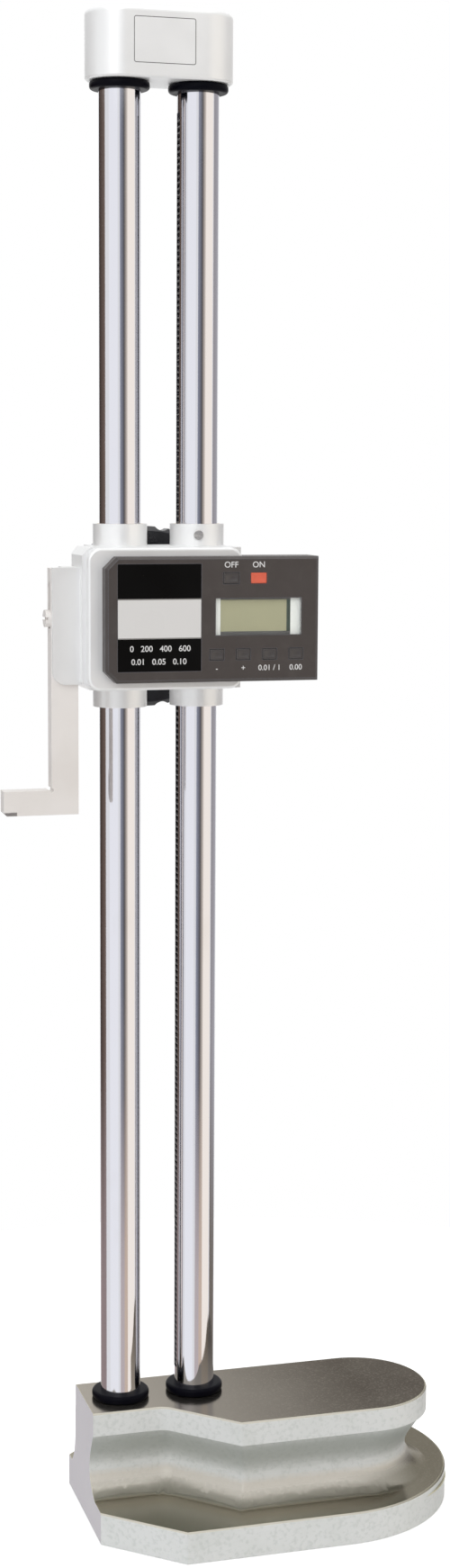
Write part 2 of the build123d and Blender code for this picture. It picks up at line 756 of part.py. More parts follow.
def encoder_bush_rear():
    ring = rod_y(encoder_bush_r, gear_half, gear_half + encoder_bush_length, pinion_x, encoder_z)
    return ring - rod_y(encoder_shaft_r + running_gap, -through, through, pinion_x, encoder_z)


def encoder_plug():
    """Bearing plug that closes the encoder's gear bore from the front."""
    plug = rod_y(gear_bore_r - seat_gap, chamber_floor, -gear_half, pinion_x, encoder_z)
    plug -= rod_y(encoder_shaft_r + running_gap, -through, through, pinion_x, encoder_z)
    return plug - post(column_r + column_gap, carriage_bottom, carriage_top, right_x)


def encoder_reader():
    """Fork that reads the slotted disc at its lower edge."""
    left = pinion_x - reader_width / 2
    fork = block(left, left + reader_width, reader_front, chamber_floor, reader_bottom, reader_top)
    middle = encoder_front_y() + encoder_disc_thickness / 2
    half = reader_slot / 2
    return fork - block(left - past, left + reader_width + past, middle - half, middle + half,
                        reader_top - reader_throat, reader_top + past)


# ---------------------------------------------------------------- display unit
def display_bezel():
    """Rounded cast frame between the carriage and the display housing."""
    middle_x = (bezel_left + bezel_right) / 2
    outline = Pos(middle_x, middle_z) * RectangleRounded(bezel_right - bezel_left, bezel_height, bezel_corner)
    frame = plate_xz(outline, bezel_front, body_front)
    front = frame.faces().sort_by(Axis.Y)[0]
    frame = fillet(front.edges(), bezel_round)
    return frame - block(pinion_x - flat_cable_slot_half, pinion_x + flat_cable_slot_half,
                         bezel_front - past, body_front + past, reader_bottom,
                         reader_bottom + flat_cable_slot_height)


def key_places():
    """Name, X, Z and width of every key."""
    upper = ["key_units", "key_power"]
    lower = ["key_minus", "key_plus", "key_mode", "key_zero"]
    places = [(name, upper_key_x + upper_key_pitch * index, middle_z + upper_key_z, upper_key_width)
              for index, name in enumerate(upper)]
    places += [(name, lower_key_x + lower_key_pitch * index, middle_z + lower_key_z, lower_key_width)
               for index, name in enumerate(lower)]
    return places


def display_housing():
    """Front shell with chamfered left corners and a box at its overhanging right end."""
    bottom = panel_bottom
    top = panel_top
    outline = Polyline((panel_left + panel_corner, bottom), (panel_right, bottom), (panel_right, top),
                       (panel_left + panel_corner, top), (panel_left, top - panel_corner),
                       (panel_left, bottom + panel_corner), close=True)
    shell = plate_xz(make_face(outline), panel_front, bezel_front)
    front = shell.faces().sort_by(Axis.Y)[0]
    shell = chamfer(front.edges(), panel_edge)
    shell += block(box_left, panel_right, bezel_front, box_back, bottom, top)
    shell -= block(panel_left + panel_corner, panel_right - panel_wall, inner_front, bezel_front,
                   bottom + panel_wall, top - panel_wall)
    shell -= block(box_left + panel_wall, panel_right - panel_wall, bezel_front, box_back,
                   bottom + panel_wall, top - panel_wall)
    for x, z in cover_corners():
        shell += rod_y(cover_boss_r, bezel_front, box_back, x, z)
        shell -= rod_y(cover_screw_r + seat_gap, box_back - cover_screw_reach - thread_spare, box_back, x, z)
    shell -= block(window_left, window_right, panel_front - past, inner_front + past,
                   middle_z + window_bottom, middle_z + window_top)
    shell -= block(label_left, label_right, panel_front - past, panel_front + label_thickness,
                   middle_z - label_bottom_below_middle, middle_z + label_top_above_middle)
    for _, x, z, width in key_places():
        reach = width / 2 + key_gap
        tall = key_height / 2 + key_gap
        shell -= block(x - reach, x + reach, panel_front - past, inner_front + past, z - tall, z + tall)
    return shell


def label_plate():
    return block(label_left + trim_gap, label_right - trim_gap, panel_front, panel_front + label_thickness,
                 middle_z - label_bottom_below_middle + trim_gap,
                 middle_z + label_top_above_middle - trim_gap)


def lcd_window():
    front = panel_front + window_sink
    return block(window_left + trim_gap, window_right - trim_gap, front, front + window_glass,
                 middle_z + window_bottom + trim_gap, middle_z + window_top - trim_gap)


def board_front():
    return bezel_front - board_back_gap - board_thickness


def lcd_frame():
    """White carrier round the display cell."""
    front = inner_front + wall_gap
    frame = block(window_left - lcd_rim, window_right + lcd_rim, front, board_front(),
                  middle_z + window_bottom - lcd_rim, middle_z + window_top + lcd_rim)
    return frame - block(cell_left, cell_right, front - past, front + cell_depth,
                         middle_z + window_bottom + cell_bottom_margin,
                         middle_z + window_top - cell_top_margin)


def lcd_cell():
    front = inner_front + wall_gap
    return block(cell_left + trim_gap, cell_right - trim_gap, front + cell_step, front + cell_depth,
                 middle_z + window_bottom + cell_bottom_margin + trim_gap,
                 middle_z + window_top - cell_top_margin - trim_gap)


def circuit_board():
    """Board with a push switch behind every key."""
    half = panel_height / 2 - panel_wall - board_gap
    front = board_front()
    switch_front = inner_front + wall_gap + key_flange_thickness + key_travel
    board = block(board_left, board_right, front, front + board_thickness, middle_z - half, middle_z + half)
    for _, x, z, _ in key_places():
        board += block(x - switch_half, x + switch_half, switch_front, front,
                       z - switch_half, z + switch_half)
    return board


def key(x, z, width):
    """Key cap with a flange that keeps it behind the front wall."""
    tall = key_height / 2
    flange_front = inner_front + wall_gap
    flange_back = flange_front + key_flange_thickness
    cap = block(x - width / 2, x + width / 2, panel_front - key_proud, flange_back, z - tall, z + tall)
    face = cap.faces().sort_by(Axis.Y)[0]
    cap = fillet(face.edges(), key_round)
    reach = width / 2 + key_flange
    return cap + block(x - reach, x + reach, flange_front, flange_back, z - tall - key_flange,
                       z + tall + key_flange)


def cover_corners():
    """The four screws of the rear cover, X and Z."""
    left = box_left + panel_wall + cover_boss_inset
    right = panel_right - panel_wall - cover_boss_inset
    rise = panel_height / 2 - panel_wall - cover_boss_inset
    return [(x, middle_z + z) for x in (left, right) for z in (-rise, rise)]


def housing_cover():
    """Rear cover of the overhanging box, with the battery well."""
    well_front = battery_front() - battery_well_floor
    cover = block(box_left, panel_right, box_back, cover_back, panel_bottom, panel_top)
    cover += rod_y(battery_cover_r + battery_well_wall, well_front, box_back, battery_x, middle_z)
    cover -= rod_y(battery_cover_r + running_gap, cover_back - battery_cover_thickness,
                   cover_back + past, battery_x, middle_z)
    cover -= rod_y(battery_r + battery_gap, battery_front(), cover_back, battery_x, middle_z)
    for x, z in cover_corners():
        cover -= rod_y(cover_screw_r + seat_gap, -through, through, x, z)
    return cover


def cover_screws():
    stem = cover_thickness + cover_screw_reach
    screw = slotted_screw(cover_screw_r, stem, cover_screw_head_r, cover_screw_head_height)
    return Compound(children=[Pos(x, cover_back, z) * screw for x, z in cover_corners()])


def battery_front():
    return box_back - battery_back_gap - battery_height


def battery():
    return rod_y(battery_r, battery_front(), battery_front() + battery_height, battery_x, middle_z)


def battery_cover():
    """Round cover with a coin slot, flush with the rear cover."""
    lid = rod_y(battery_cover_r, cover_back - battery_cover_thickness, cover_back, battery_x, middle_z)
    reach = battery_cover_r * coin_slot_share
    half = coin_slot_width / 2
    return lid - block(battery_x - reach, battery_x + reach, cover_back - coin_slot_depth, cover_back,
                       middle_z - half, middle_z + half)


def flat_cable():
    """Flat lead between the encoder's reader and the board."""
    z = reader_bottom + flat_cable_rise
    half = flat_cable_width / 2
    return block(pinion_x - half, pinion_x + half, board_front() + board_thickness, reader_front,
                 z, z + flat_cable_thickness)


# ---------------------------------------------------------------- lock
def lock_tip_x():
    return right_x + column_r + lock_tip_gap


def lock_knob():
    """Fluted knob on a stem that presses the right column."""
    z = middle_z + lock_z
    start = body_right + lock_knob_gap
    knob = rod_x(lock_knob_r, start, start + lock_knob_length, 0, z)
    knob = chamfer(knob.edges().filter_by(GeomType.CIRCLE), lock_knob_edge)
    for index in range(lock_flutes):
        turn = Pos(0, 0, z) * Rot(360 / lock_flutes * index, 0, 0)
        knob -= turn * rod_x(lock_flute_r, start - past, start + lock_knob_length + past,
                             lock_knob_r + lock_flute_offset, 0)
    return knob + rod_x(lock_stem_r, lock_tip_x() + lock_tip_length, start, 0, z)


def lock_tip():
    return rod_x(lock_stem_r - lock_tip_step, lock_tip_x(), lock_tip_x() + lock_tip_length, 0,
                 middle_z + lock_z)


# ---------------------------------------------------------------- scriber
def scriber_middle():
    return scriber_front + scriber_depth / 2


def scriber_right():
    return scriber_left + scriber_width


def holder_floor(gap):
    """The holder's floor, let into the carriage's flank, grown all round by a gap."""
    front = scriber_front - holder_front_wall
    back = scriber_front + scriber_depth + holder_back_wall
    return block(body_left, body_left + holder_sink + gap, front - gap, back + gap,
                 middle_z + holder_bottom - gap, middle_z + holder_top + gap)


def scriber_holder():
    """Channel open to the left, screwed to the carriage's flank."""
    top = middle_z + holder_top
    bottom = middle_z + holder_bottom
    bar_back = scriber_front + scriber_depth
    wall_left = scriber_left + holder_set_back
    front_wall = block(wall_left, body_left, scriber_front - holder_front_wall, scriber_front, bottom, top)
    lower = front_wall.edges().filter_by(Axis.Y).sort_by(lambda e: e.center().X + e.center().Z)[0]
    shape = fillet(lower, holder_corner)
    shape += block(holder_back_left, body_left, bar_back, bar_back + holder_back_wall, bottom, top)
    shape += block(scriber_right(), body_left, scriber_front, bar_back, bottom, top)
    shape += holder_floor(0)
    shape -= block(wall_left - past, scriber_right() + running_gap, scriber_front - running_gap,
                   bar_back + running_gap, bottom - past, top + past)
    shape -= rod_x(clamp_screw_r + running_gap, -through, through, scriber_middle(), middle_z)
    for rise in holder_screw_rises:
        shape -= rod_x(holder_screw_r + seat_gap, -through, through, holder_screw_y(), middle_z + rise)
    return shape


def holder_screws():
    """Screws through the holder's back wall into the carriage."""
    stem = holder_screw_end - holder_back_left
    screw = slotted_screw(holder_screw_r, stem, holder_screw_head_r, holder_screw_head_height)
    screw = Pos(holder_back_left, holder_screw_y(), middle_z) * Rot(0, 0, 90) * screw
    return Compound(children=[Pos(0, 0, rise) * screw for rise in holder_screw_rises])


def holder_screw_y():
    """Middle of the holder's back wall."""
    return scriber_front + scriber_depth + holder_back_wall / 2


def scriber():
    """L-shaped bar with a clamp slot and a relieved inner corner."""
    left = scriber_left
    right = scriber_right()
    top = middle_z + scriber_top
    bottom = middle_z + scriber_bottom
    outline = Polyline((left, top), (left, bottom + foot_thickness), (foot_tip_x, bottom + foot_thickness),
                       (foot_tip_x, bottom + foot_chamfer), (foot_tip_x + foot_chamfer, bottom),
                       (right, bottom), (right, top), close=True)
    bar = plate_xz(make_face(outline), scriber_front, scriber_front + scriber_depth)
    bar -= rod_y(corner_relief_r, scriber_front - past, scriber_front + scriber_depth + past, left,
                 bottom + foot_thickness)
    low = middle_z - slot_down
    high = middle_z + slot_up
    half = slot_half_width
    slot = block(left - past, right + past, scriber_middle() - half, scriber_middle() + half,
                 low + half, high - half)
    slot += rod_x(half, left - past, right + past, scriber_middle(), low + half)
    slot += rod_x(half, left - past, right + past, scriber_middle(), high - half)
    seat = block(foot_tip_x - past, foot_tip_x + tip_length, scriber_front - past,
                 scriber_front + scriber_depth + past, bottom - past, bottom + tip_thickness)
    return bar - slot - seat


def scriber_tip():
    """Hard metal plate brazed under the foot, ground to an edge."""
    bottom = middle_z + scriber_bottom
    outline = Polyline((foot_tip_x, bottom + tip_thickness), (foot_tip_x, bottom + foot_chamfer),
                       (foot_tip_x + foot_chamfer, bottom), (foot_tip_x + tip_length, bottom),
                       (foot_tip_x + tip_length, bottom + tip_thickness), close=True)
    return plate_xz(make_face(outline), scriber_front, scriber_front + scriber_depth)


def clamp_screw():
    """Slotted cheese-head screw that clamps the scriber in its holder."""
    head_left = scriber_left - clamp_head_height
    screw = rod_x(clamp_head_r, head_left, scriber_left, scriber_middle(), middle_z)
    screw += rod_x(clamp_screw_r, scriber_left, body_left + clamp_reach - screw_end_gap, scriber_middle(),
                   middle_z)
    half = clamp_slot_width / 2
    return screw - block(head_left - past, head_left + clamp_slot_depth, -through, through,
                         middle_z - half, middle_z + half)


os.makedirs("parts", exist_ok=True)
save("base_casting", base_casting())
save("column_left", column(left_x))
save("column_right", column(right_x) - rack_groove())
save("rack", rack())
save("lower_bumper_left", bumper(left_x, base_height))
save("lower_bumper_right", bumper(right_x, base_height))
save("upper_bumper_left", bumper(left_x, cap_bottom - bumper_height))
save("upper_bumper_right", bumper(right_x, cap_bottom - bumper_height))
save("top_cap", top_cap())
save("cap_screws", cap_screws())
save("column_bolts", column_bolts())
save("carriage_body", carriage_body())
for side, x in (("left", left_x), ("right", right_x)):
    save("guide_bush_upper_" + side, guide_bush(x, carriage_top - bush_length))
    save("guide_bush_lower_" + side, guide_bush(x, carriage_bottom))
save("sleeve_screw", sleeve_screw())
save("drive_pinion", drive_pinion())
save("drive_shaft", drive_shaft())
save("shaft_bush_front", shaft_bush_front())
save("shaft_bush_rear", shaft_bush_rear())
save("bearing_housing", bearing_housing())
save("bearing_housing_screws", flange_screws())
save("handwheel", handwheel())
save("wheel_nut", wheel_nut())
save("crank_pin", crank_pin())
save("crank_knob", crank_knob())
save("encoder_pinion_shaft", encoder_shaft())
save("encoder_disc", encoder_disc())
save("encoder_bush_rear", encoder_bush_rear())
save("encoder_bearing_plug", encoder_plug())
save("encoder_reader", encoder_reader())
save("display_bezel", display_bezel())
save("display_housing", display_housing())
save("label_plate", label_plate())
save("lcd_window", lcd_window())
save("lcd_frame", lcd_frame())
save("lcd_cell", lcd_cell())
save("circuit_board", circuit_board())
for name, x, z, width in key_places():
    save(name, key(x, z, width))
save("housing_cover", housing_cover())
save("housing_cover_screws", cover_screws())
save("battery", battery())
save("battery_cover", battery_cover())
save("flat_cable", flat_cable())
save("lock_knob", lock_knob())
save("lock_tip", lock_tip())
save("scriber_holder", scriber_holder())
save("holder_screws", holder_screws())
save("scriber", scriber())
save("scriber_tip", scriber_tip())
save("clamp_screw", clamp_screw())
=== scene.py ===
import json
import math
import bpy
import bmesh
from mathutils import Matrix, Vector


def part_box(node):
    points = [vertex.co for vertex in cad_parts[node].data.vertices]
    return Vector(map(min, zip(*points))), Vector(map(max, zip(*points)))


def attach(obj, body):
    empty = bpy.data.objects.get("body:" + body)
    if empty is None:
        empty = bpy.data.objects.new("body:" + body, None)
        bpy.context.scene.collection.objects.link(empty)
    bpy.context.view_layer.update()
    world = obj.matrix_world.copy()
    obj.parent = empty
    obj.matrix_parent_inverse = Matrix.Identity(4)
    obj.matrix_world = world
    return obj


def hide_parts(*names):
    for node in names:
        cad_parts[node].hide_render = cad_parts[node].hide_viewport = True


# Digital height gauge. Metres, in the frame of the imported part: +Z up, display towards -Y.
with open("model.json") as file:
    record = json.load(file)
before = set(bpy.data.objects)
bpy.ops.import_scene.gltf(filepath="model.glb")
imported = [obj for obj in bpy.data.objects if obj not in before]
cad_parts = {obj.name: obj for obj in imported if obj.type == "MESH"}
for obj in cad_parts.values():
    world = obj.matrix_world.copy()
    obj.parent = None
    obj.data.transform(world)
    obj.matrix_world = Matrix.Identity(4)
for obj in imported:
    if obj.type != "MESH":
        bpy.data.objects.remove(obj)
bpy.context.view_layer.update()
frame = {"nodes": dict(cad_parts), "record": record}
MM = 0.001
OWN_FINISH = {"lcd_frame": "carrier", "clamp_screw": "scriber_steel"}

# Places on the object
CELL_LEFT = 0.0221          # the display cell, between the white strips of its carrier
CELL_RIGHT = 0.0599
CELL_SHADE_START = 0.0577   # dark right edge of the display cell
CELL_SHADE_FULL = 0.0580
UPPER_START = 0.05          # heights between which the lower plate gives way to the upper one
UPPER_FULL = 0.06
PAINTED_REFLECTION_PALE_X = -0.04         # the upper plate's painted reflection darkens between these
PAINTED_REFLECTION_DARK_X = 0.11
TAIL_START_X = 0.09         # the tail's run-out turns to bare metal between these
TAIL_FULL_X = 0.14
PAINTED_SHADE_START_X = 0.05          # painted shade darkens the lower plate's metal between these
PAINTED_SHADE_FULL_X = 0.15
LABEL_BAND_DOWN = 0.0094    # light band of the label, from the middle of the carriage
LABEL_BAND_UP = 0.0106
LABEL_LINE_HALF = 0.0003

# Printing
PRINT_LIFT = 0.00001        # lettering over its face
LETTER_DEPTH = 0.00002
LETTER_SWELL = 0.012        # stroke offset, as a share of the letters' height
CAPITAL_SHARE = 0.72        # a capital's height, as a share of the font's size
CAPTION_TALL = 0.0031
SIGN_TALL = 0.0029
RANGE_X = -0.0105
RANGE_DOWN = 0.0148
STEP_X = -0.0112
STEP_DOWN = 0.0215
CAPTION_UP = 0.0280         # captions over the upper keys
SIGN_DOWN = 0.0254          # signs under the lower keys
OUTLINE_LOW = (-0.0176, 0.7790)
OUTLINE_HIGH = (0.0150, 0.8020)
OUTLINE_LIFT = 0.00002
OUTLINE_LINE = 0.00035
OUTLINE_CORNER = 0.0012
OUTLINE_BACK = 0.00003

# Rounding
WELD_DISTANCE = 0.000004
FLAT_TURN = 0.6             # degrees under which neighbouring faces count as one
QUARTER_STEPS = 6           # facets in a quarter turn
KEY_ROUND = 0.0003
KEY_RIM = 0.0007
KEY_SLOPE = 0.0006
KEY_DISH = 0.00028
BASE_ROUND = 0.0009
BASE_LIMIT = 40             # degrees; the casting's gentler edges keep their form

# Camera and studio
CAMERA_PLACE = (-310.47, -1228.38, 574.40)      # millimetres
CAMERA_AZIMUTH = 15.81      # degrees round from straight in front, towards -X
CAMERA_PITCH = 7.54         # degrees down
CAMERA_ROLL = 0.29
CAMERA_LENS = 54.61
SENSOR_HEIGHT = 36.0
FLOOR_PLACE = (0.06, 0, -0.0002)
FLOOR_RADIUS = 0.5
FLOOR_LIFT = 0.42           # added where the background is seen, so that the lit floor is white
FILL_LEVEL = 0.58           # the white world's strength as a light
PANEL_DISTANCE = 6.0
PANEL_BOTTOM = -2.8
PANEL_TOP = 1.9
PANEL_FOOT_TOP = -1.3       # below this height a panel fades to its foot colour
PANEL_FOOT_FULL = -1.95
STRIP_DISTANCE = 3.0        # the weak upright soft lights
STRIP_BOTTOM = -1.5
STRIP_TOP = 1.5
RING_ROUND = 0.0017         # rounded rims of the rubber rings
RING_GAP = 0.00002          # air between a ring and its column


# ---------------------------------------------------------------- camera
def make_camera():
    """Long lens from the front left, a little above the object's middle."""
    place = Vector(CAMERA_PLACE) * MM
    azimuth = math.radians(CAMERA_AZIMUTH)
    pitch = math.radians(CAMERA_PITCH)
    roll = math.radians(CAMERA_ROLL)
    forward = Vector((math.sin(azimuth) * math.cos(pitch), math.cos(azimuth) * math.cos(pitch),
                      -math.sin(pitch)))
    side = Vector((math.cos(azimuth), -math.sin(azimuth), 0))
    up = side.cross(forward)
    rolled_side = side * math.cos(roll) + up * math.sin(roll)
    rolled_up = up * math.cos(roll) - side * math.sin(roll)
    data = bpy.data.cameras.new("camera")
    data.sensor_fit = "VERTICAL"
    data.sensor_height = SENSOR_HEIGHT
    data.lens = CAMERA_LENS
    data.clip_start = 0.05
    data.clip_end = 50.0
    camera = bpy.data.objects.new("camera", data)
    turn = Matrix((rolled_side, rolled_up, -forward)).transposed()
    camera.matrix_world = Matrix.Translation(place) @ turn.to_4x4()
    bpy.context.scene.collection.objects.link(camera)
    bpy.context.scene.camera = camera


# ---------------------------------------------------------------- shader helpers
class Shader:
    """A node material that is built up step by step round one Principled shader."""

    def __init__(self, name, color, metallic=0.0, roughness=0.5):
        self.material = bpy.data.materials.new(name)
        self.material.use_nodes = True
        self.tree = self.material.node_tree
        self.bsdf = self.tree.nodes["Principled BSDF"]
        self.color = tuple(color) + (1.0,)
        self.bsdf.inputs["Base Color"].default_value = self.color
        self.bsdf.inputs["Metallic"].default_value = metallic
        self.bsdf.inputs["Roughness"].default_value = roughness
        self.roughness = roughness
        self.coords = self.node("ShaderNodeTexCoord").outputs["Object"]

    def node(self, kind, **settings):
        new = self.tree.nodes.new(kind)
        for key, value in settings.items():
            setattr(new, key, value)
        return new

    def link(self, source, target):
        self.tree.links.new(source, target)

    def math(self, operation, first, second=0.0):
        node = self.node("ShaderNodeMath", operation=operation)
        for socket, value in zip(node.inputs, (first, second)):
            self.feed(socket, value)
        return node.outputs[0]

    def feed(self, socket, value):
        if isinstance(value, bpy.types.NodeSocket):
            self.link(value, socket)
        else:
            socket.default_value = value

    def noise(self, scale, detail=3.0, stretch=(1, 1, 1)):
        mapping = self.node("ShaderNodeMapping")
        mapping.inputs["Scale"].default_value = stretch
        self.link(self.coords, mapping.inputs["Vector"])
        noise = self.node("ShaderNodeTexNoise")
        noise.inputs["Scale"].default_value = scale
        noise.inputs["Detail"].default_value = detail
        self.link(mapping.outputs["Vector"], noise.inputs["Vector"])
        return noise.outputs["Fac"]

    def spread(self, value, low, high, out_low=0.0, out_high=1.0):
        node = self.node("ShaderNodeMapRange")
        for name, number in zip(("Value", "From Min", "From Max", "To Min", "To Max"),
                                (value, low, high, out_low, out_high)):
            self.feed(node.inputs[name], number)
        return node.outputs["Result"]

    def mix(self, share, first, second):
        node = self.node("ShaderNodeMix", data_type="RGBA")
        self.feed(node.inputs[0], share)
        self.feed(node.inputs[6], first)
        self.feed(node.inputs[7], second)
        return node.outputs[2]

    def vary_color(self, share, other):
        """Blend the base colour towards another one by a mask."""
        socket = self.bsdf.inputs["Base Color"]
        current = socket.links[0].from_socket if socket.links else self.color
        self.link(self.mix(share, current, tuple(other) + (1.0,)), socket)

    def vary_roughness(self, value, swing):
        self.link(self.spread(value, 0.3, 0.7, self.roughness - swing, self.roughness + swing),
                  self.bsdf.inputs["Roughness"])

    def bump(self, height, depth, strength=1.0):
        node = self.node("ShaderNodeBump")
        node.inputs["Strength"].default_value = strength
        node.inputs["Distance"].default_value = depth
        self.link(height, node.inputs["Height"])
        socket = self.bsdf.inputs["Normal"]
        if socket.links:
            self.link(socket.links[0].from_socket, node.inputs["Normal"])
        self.link(node.outputs["Normal"], socket)

    def edge_mask(self, radius):
        """1 on convex and concave edges, 0 on flat faces."""
        bevel = self.node("ShaderNodeBevel", samples=4)
        bevel.inputs["Radius"].default_value = radius
        geometry = self.node("ShaderNodeNewGeometry")
        dot = self.node("ShaderNodeVectorMath", operation="DOT_PRODUCT")
        self.link(bevel.outputs["Normal"], dot.inputs[0])
        self.link(geometry.outputs["Normal"], dot.inputs[1])
        return self.spread(dot.outputs["Value"], 0.995, 0.93)

    def height(self):
        split = self.node("ShaderNodeSeparateXYZ")
        self.link(self.coords, split.inputs[0])
        return split.outputs


# ---------------------------------------------------------------- materials
def chrome_column():
    """Hard chrome, ground round the bar and lightly used along it."""
    s = Shader("chrome_column", (0.68, 0.68, 0.72), 1.0, 0.085)
    s.vary_roughness(s.noise(60, 4, (1, 1, 0.25)), 0.045)
    lines = s.noise(90, 2, (0.4, 0.4, 60))
    s.bump(lines, 0.00002, 0.12)
    s.vary_color(s.spread(s.noise(35, 5, (1, 1, 0.5)), 0.62, 0.78, 0.0, 0.22), (0.55, 0.53, 0.52))
    return s.material


def ground_steel(name, color, roughness, wear=(0.3, 0.29, 0.28), metallic=1.0):
    """Surface-ground steel with fine lines and faint stains."""
    s = Shader(name, color, metallic, roughness)
    lines = s.noise(120, 2, (1, 22, 22))
    s.bump(lines, 0.00003, 0.2)
    s.vary_roughness(lines, 0.05)
    s.vary_color(s.spread(s.noise(28, 5), 0.5, 0.72, 0.0, 0.3), wear)
    return s.material


def silver_paint():
    """Satin silver-white paint on a casting."""
    s = Shader("silver_casting", (0.91, 0.915, 0.915), 0.3, 0.36)
    fine = s.noise(900, 2)
    s.bump(fine, 0.00004, 0.18)
    s.vary_roughness(s.noise(70, 4), 0.06)
    s.vary_color(s.spread(s.noise(22, 4), 0.55, 0.8, 0.0, 0.18), (0.70, 0.69, 0.67))
    return s.material


def base_paint():
    """Light hammered paint on the casting's sides, bare ground metal on its level tops.

    The hollow's run-out turns from paint to metal as it flattens into the lower plate. Faces
    that look down get painted shade, and faces that tilt up get a painted warm highlight.
    Both plates darken towards the tail, by place on the object: the upper plate's dark top
    is a painted reflection, and the lower plate's metal gets painted shade. The plates'
    upper edges carry a painted yellowish highlight.
    """
    s = Shader("casting", (0.76, 0.775, 0.765), 0.0, 0.4)
    grain = s.noise(430, 5)
    s.vary_color(s.spread(grain, 0.50, 0.66, 0.0, 0.30), (0.46, 0.50, 0.47))
    s.vary_color(s.spread(s.noise(40, 5), 0.48, 0.75, 0.0, 0.35), (0.60, 0.63, 0.59))
    geometry = s.node("ShaderNodeNewGeometry")
    split = s.node("ShaderNodeSeparateXYZ")
    s.link(geometry.outputs["Normal"], split.inputs[0])
    up = split.outputs["Z"]
    place = s.height()
    # painted shade: faces that look down are darkened
    s.vary_color(s.spread(up, -0.05, -0.55, 0.0, 0.75), (0.30, 0.33, 0.30))
    # painted warm highlight on faces that tilt up, low in the hollow
    s.vary_color(s.spread(up, 0.12, 0.45, 0.0, 0.75), (0.67, 0.62, 0.54))
    tail = s.math("MULTIPLY", s.spread(place["X"], TAIL_START_X, TAIL_FULL_X), s.spread(up, 0.35, 0.80))
    metal = s.math("MAXIMUM", s.spread(up, 0.66, 0.975), tail)
    s.vary_color(metal, (0.35, 0.335, 0.275))
    upper = s.spread(place["Z"], UPPER_START, UPPER_FULL)
    top = s.math("MULTIPLY", s.spread(up, 0.90, 0.985), upper)
    # painted reflection: the upper plate's level top is coloured dark, and darker towards the tail
    along = s.spread(place["X"], PAINTED_REFLECTION_PALE_X, PAINTED_REFLECTION_DARK_X)
    painted_reflection = s.mix(along, (0.40, 0.375, 0.335, 1), (0.050, 0.041, 0.035, 1))
    s.bsdf.inputs["Specular Tint"].default_value = (0.78, 0.75, 0.70, 1)
    socket = s.bsdf.inputs["Base Color"]
    s.link(s.mix(top, socket.links[0].from_socket, painted_reflection), socket)
    lower = s.math("SUBTRACT", 1.0, upper)
    # painted shade: the lower plate's metal darkens towards the tail
    far = s.math("MULTIPLY", s.spread(place["X"], PAINTED_SHADE_START_X, PAINTED_SHADE_FULL_X, 0.0, 0.85), lower)
    s.vary_color(s.math("MULTIPLY", metal, far), (0.10, 0.088, 0.062))
    stain = s.spread(s.noise(14, 4), 0.45, 0.72, 0.0, 0.14)
    s.vary_color(s.math("MULTIPLY", metal, stain), (0.30, 0.285, 0.25))
    specks = s.spread(s.noise(900, 2), 0.5, 0.7, 0.0, 0.22)
    s.vary_color(s.math("MULTIPLY", metal, specks), (0.34, 0.31, 0.27))
    end = s.spread(split.outputs["X"], -0.985, -0.997)
    s.vary_color(end, (0.64, 0.615, 0.65))
    # painted highlight: a yellowish line along the edges of faces that tilt up
    rim = s.math("MULTIPLY", s.edge_mask(0.0008), s.spread(up, 0.2, 0.5, 0.0, 0.6))
    s.vary_color(rim, (0.80, 0.78, 0.58))
    s.link(s.math("MULTIPLY", metal, 0.94), s.bsdf.inputs["Metallic"])
    shine = s.math("ADD", s.spread(up, 0.2, 0.9, 0.40, 0.13), s.math("MULTIPLY", s.noise(45, 4), 0.07))
    s.link(shine, s.bsdf.inputs["Roughness"])
    flat = s.math("MAXIMUM", metal, end)
    s.bump(s.math("MULTIPLY", grain, s.spread(flat, 0, 1, 1.0, 0.03)), 0.00022, 0.35)
    s.bump(s.noise(140, 2, (1, 16, 16)), 0.00002, 0.12)
    return s.material


def plastic(name, color, roughness, grain=700.0, depth=0.00006, edge=(0.22, 0.21, 0.21), rim=None):
    """Moulded plastic with a fine spark texture, and a lighter rim where one is given: partly rubbed
    wear, partly painted highlight.
    """
    s = Shader(name, color, 0.0, roughness)
    s.bump(s.noise(grain, 3), depth, 0.35)
    s.vary_roughness(s.noise(90, 4), 0.07)
    s.vary_color(s.spread(s.noise(160, 4), 0.52, 0.75, 0.0, 0.3), edge)
    s.vary_color(s.spread(s.noise(45, 3), 0.5, 0.75, 0.0, 0.3), tuple(0.6 * part for part in color))
    if rim is not None:
        # lighter line along the edges: partly rubbed wear, partly painted highlight
        s.vary_color(s.math("MULTIPLY", s.edge_mask(0.0007), 0.6), rim)
    return s.material


def rubber():
    """Matt black rubber that takes almost no highlight."""
    s = Shader("rubber", (0.003, 0.003, 0.006), 0.0, 0.36)
    s.bsdf.inputs["Specular IOR Level"].default_value = 0.04
    s.bump(s.noise(300, 2), 0.00004, 0.1)
    s.vary_roughness(s.noise(80, 3), 0.07)
    return s.material


def display_cell():
    """Olive liquid-crystal cell, lighter in patches, with a dark right edge."""
    s = Shader("lcd", (0.45, 0.43, 0.30), 0.0, 0.28)
    s.vary_color(s.spread(s.noise(60, 2), 0.45, 0.75, 0.0, 0.35), (0.49, 0.46, 0.31))
    x = s.height()["X"]
    s.vary_color(s.spread(x, CELL_SHADE_START, CELL_SHADE_FULL), (0.07, 0.09, 0.08))
    return s.material


